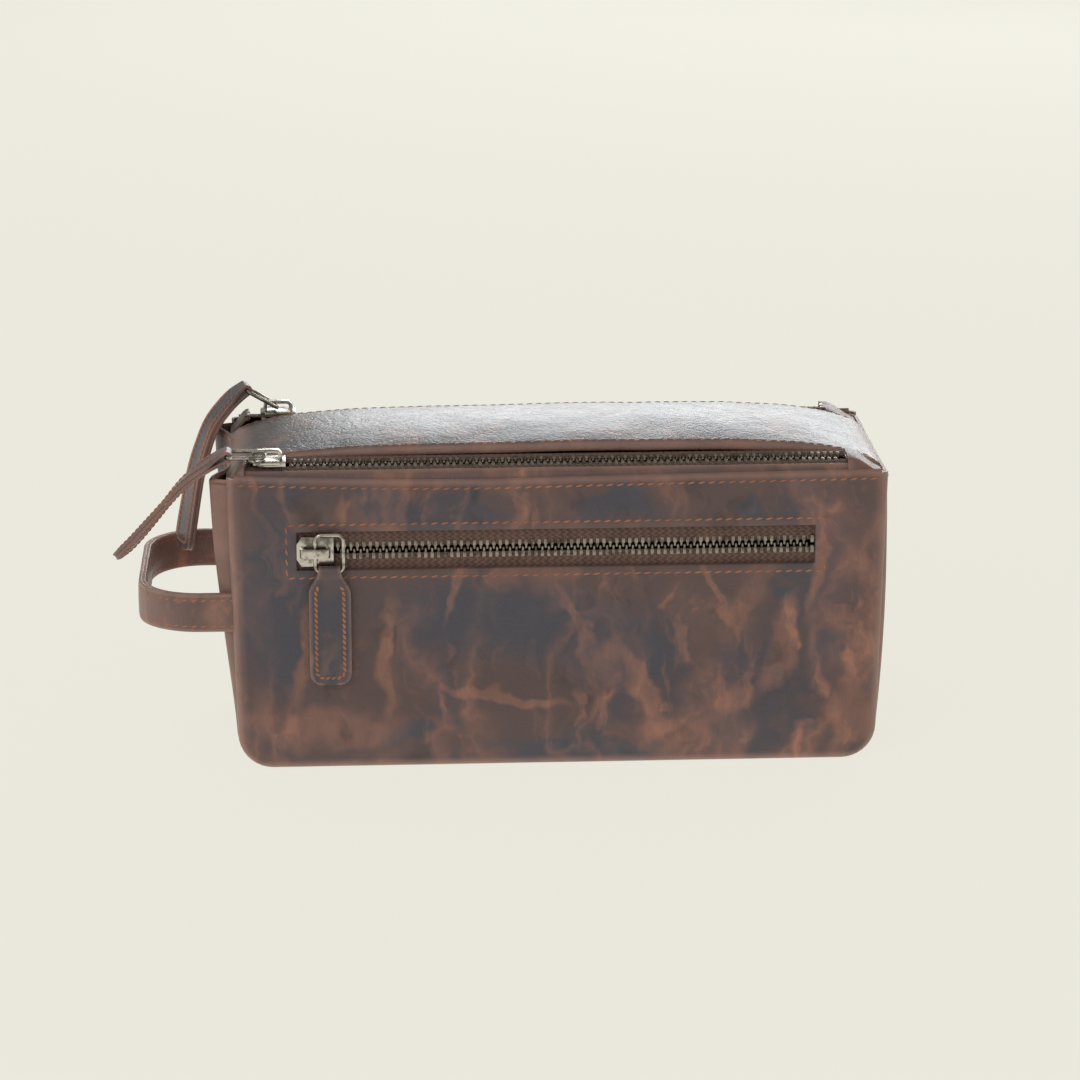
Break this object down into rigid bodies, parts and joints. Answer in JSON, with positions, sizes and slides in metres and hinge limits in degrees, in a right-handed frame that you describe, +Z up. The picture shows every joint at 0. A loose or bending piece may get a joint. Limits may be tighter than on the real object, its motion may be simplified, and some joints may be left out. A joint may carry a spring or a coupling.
{
  "type": "shaving_kit_bag",
  "caption": "Leather shaving kit bag with two zipped top compartments, a zipped front pocket, leather zip pulls and a side carry loop.",
  "frame": {"origin": "middle of the flat underside of the base", "axes": "+X along the length, away from the carry loop; +Z up, towards the zips; -Y faces out of the pocket side"},
  "size_m": [0.3156, 0.1089, 0.1411],
  "materials": {
    "pull_up_leather": "waxed",
    "pull_tab_leather": "waxed",
    "lining_cloth": "matt",
    "stiffener_board": "matt",
    "zip_tape": "matt",
    "antique_nickel_teeth": "antique nickel plate",
    "bright_nickel": "polished nickel plate"
  },
  "bodies": {
    "bag": {"front_panel": "pull_up_leather", "back_panel": "pull_up_leather", "left_gusset": "pull_up_leather", "right_gusset": "pull_up_leather", "base_panel": "pull_up_leather", "front_lining": "lining_cloth", "back_lining": "lining_cloth", "side_and_base_lining": "lining_cloth", "base_stiffener_board": "stiffener_board", "compartment_divider": "lining_cloth", "pocket_back_sheet": "lining_cloth", "pocket_side_walls": "lining_cloth", "front_edge_strip": "pull_up_leather", "rear_edge_strip": "pull_up_leather", "centre_panel_left_end": "pull_up_leather", "centre_panel_right_end": "pull_up_leather", "zip_end_covers_left": "pull_up_leather", "zip_end_covers_right": "pull_up_leather", "pocket_zip_upper_tape": "zip_tape", "pocket_zip_lower_tape": "zip_tape", "pocket_zip_upper_teeth": "antique_nickel_teeth", "pocket_zip_lower_teeth": "antique_nickel_teeth", "pocket_zip_end_stop": "antique_nickel_teeth", "front_zip_outer_tape": "zip_tape", "front_zip_outer_teeth": "antique_nickel_teeth", "front_zip_tape_ends": "zip_tape", "front_zip_end_stops": "antique_nickel_teeth", "rear_zip_outer_tape": "zip_tape", "rear_zip_outer_teeth": "antique_nickel_teeth", "rear_zip_tape_ends": "zip_tape", "rear_zip_end_stops": "antique_nickel_teeth", "handle_front_root": "pull_up_leather", "handle_rear_root": "pull_up_leather"},
    "front_lid": {"centre_panel_front_half": "pull_up_leather", "front_zip_lid_tape": "zip_tape", "front_zip_lid_teeth": "antique_nickel_teeth"},
    "rear_lid": {"centre_panel_rear_half": "pull_up_leather", "rear_zip_lid_tape": "zip_tape", "rear_zip_lid_teeth": "antique_nickel_teeth"},
    "pocket_slider_body": {"pocket_slider": "bright_nickel"},
    "pocket_ring": {"pocket_pull_ring": "bright_nickel"},
    "pocket_tab": {"pocket_pull_tab_face": "pull_tab_leather", "pocket_pull_tab_back": "pull_tab_leather"},
    "front_slider_body": {"front_slider": "bright_nickel"},
    "front_ring": {"front_pull_ring": "bright_nickel"},
    "front_tab": {"front_pull_tab_face": "pull_tab_leather", "front_pull_tab_back": "pull_tab_leather"},
    "rear_slider_body": {"rear_slider": "bright_nickel"},
    "rear_ring": {"rear_pull_ring": "bright_nickel"},
    "rear_tab": {"rear_pull_tab_face": "pull_tab_leather", "rear_pull_tab_back": "pull_tab_leather"},
    "handle": {"handle_outer_layer": "pull_up_leather", "handle_inner_layer": "pull_up_leather"}
  },
  "joints": [
    {"name": "front_lid_hinge", "type": "hinge", "parent": "bag", "child": "front_lid", "pos_m": [0, 0, 0.1338], "axis": [-1, 0, 0], "range_deg": [0, 50]},
    {"name": "rear_lid_hinge", "type": "hinge", "parent": "bag", "child": "rear_lid", "pos_m": [0, 0, 0.1338], "axis": [1, 0, 0], "range_deg": [0, 50]},
    {"name": "pocket_slide", "type": "slide", "parent": "bag", "child": "pocket_slider_body", "axis": [1, 0, 0], "range_m": [0, 0.192]},
    {"name": "front_slide", "type": "slide", "parent": "bag", "child": "front_slider_body", "axis": [1, 0, 0], "range_m": [0, 0.222], "deforming": ["front_pull_tab_face", "front_pull_tab_back"]},
    {"name": "rear_slide", "type": "slide", "parent": "bag", "child": "rear_slider_body", "axis": [1, 0, 0], "range_m": [0, 0.22], "deforming": ["rear_pull_tab_face", "rear_pull_tab_back"]},
    {"name": "pocket_ring_swing", "type": "hinge", "parent": "pocket_slider_body", "child": "pocket_ring", "pos_m": [-0.0933, -0.05465, 0.0927], "axis": [0, -1, 0], "range_deg": [-4, 90]},
    {"name": "pocket_tab_lift", "type": "hinge", "parent": "pocket_ring", "child": "pocket_tab", "pos_m": [-0.093, -0.05465, 0.0847], "axis": [-1, 0, 0], "range_deg": [0, 110]},
    {"name": "front_ring_lift", "type": "hinge", "parent": "front_slider_body", "child": "front_ring", "pos_m": [-0.1185, -0.0411, 0.1306], "axis": [0, 1, 0], "range_deg": [0, 95]},
    {"name": "front_tab_lift", "type": "hinge", "parent": "front_ring", "child": "front_tab", "pos_m": [-0.1339, -0.0411, 0.1306], "axis": [0, 1, 0], "range_deg": [-8, 60]},
    {"name": "rear_ring_lift", "type": "hinge", "parent": "rear_slider_body", "child": "rear_ring", "pos_m": [-0.115, 0.0411, 0.1306], "axis": [-0.2079, 0.9781, 0], "range_deg": [0, 75]},
    {"name": "rear_tab_lift", "type": "hinge", "parent": "rear_ring", "child": "rear_tab", "pos_m": [-0.12777, 0.03839, 0.13876], "axis": [-0.2079, 0.9781, 0], "range_deg": [0, 60]},
    {"name": "handle_swing", "type": "hinge", "parent": "bag", "child": "handle", "pos_m": [-0.1445, 0, 0.0665], "axis": [0, 1, 0], "range_deg": [-45, 18], "stiffness_Nm_per_rad": 0.12}
  ]
}
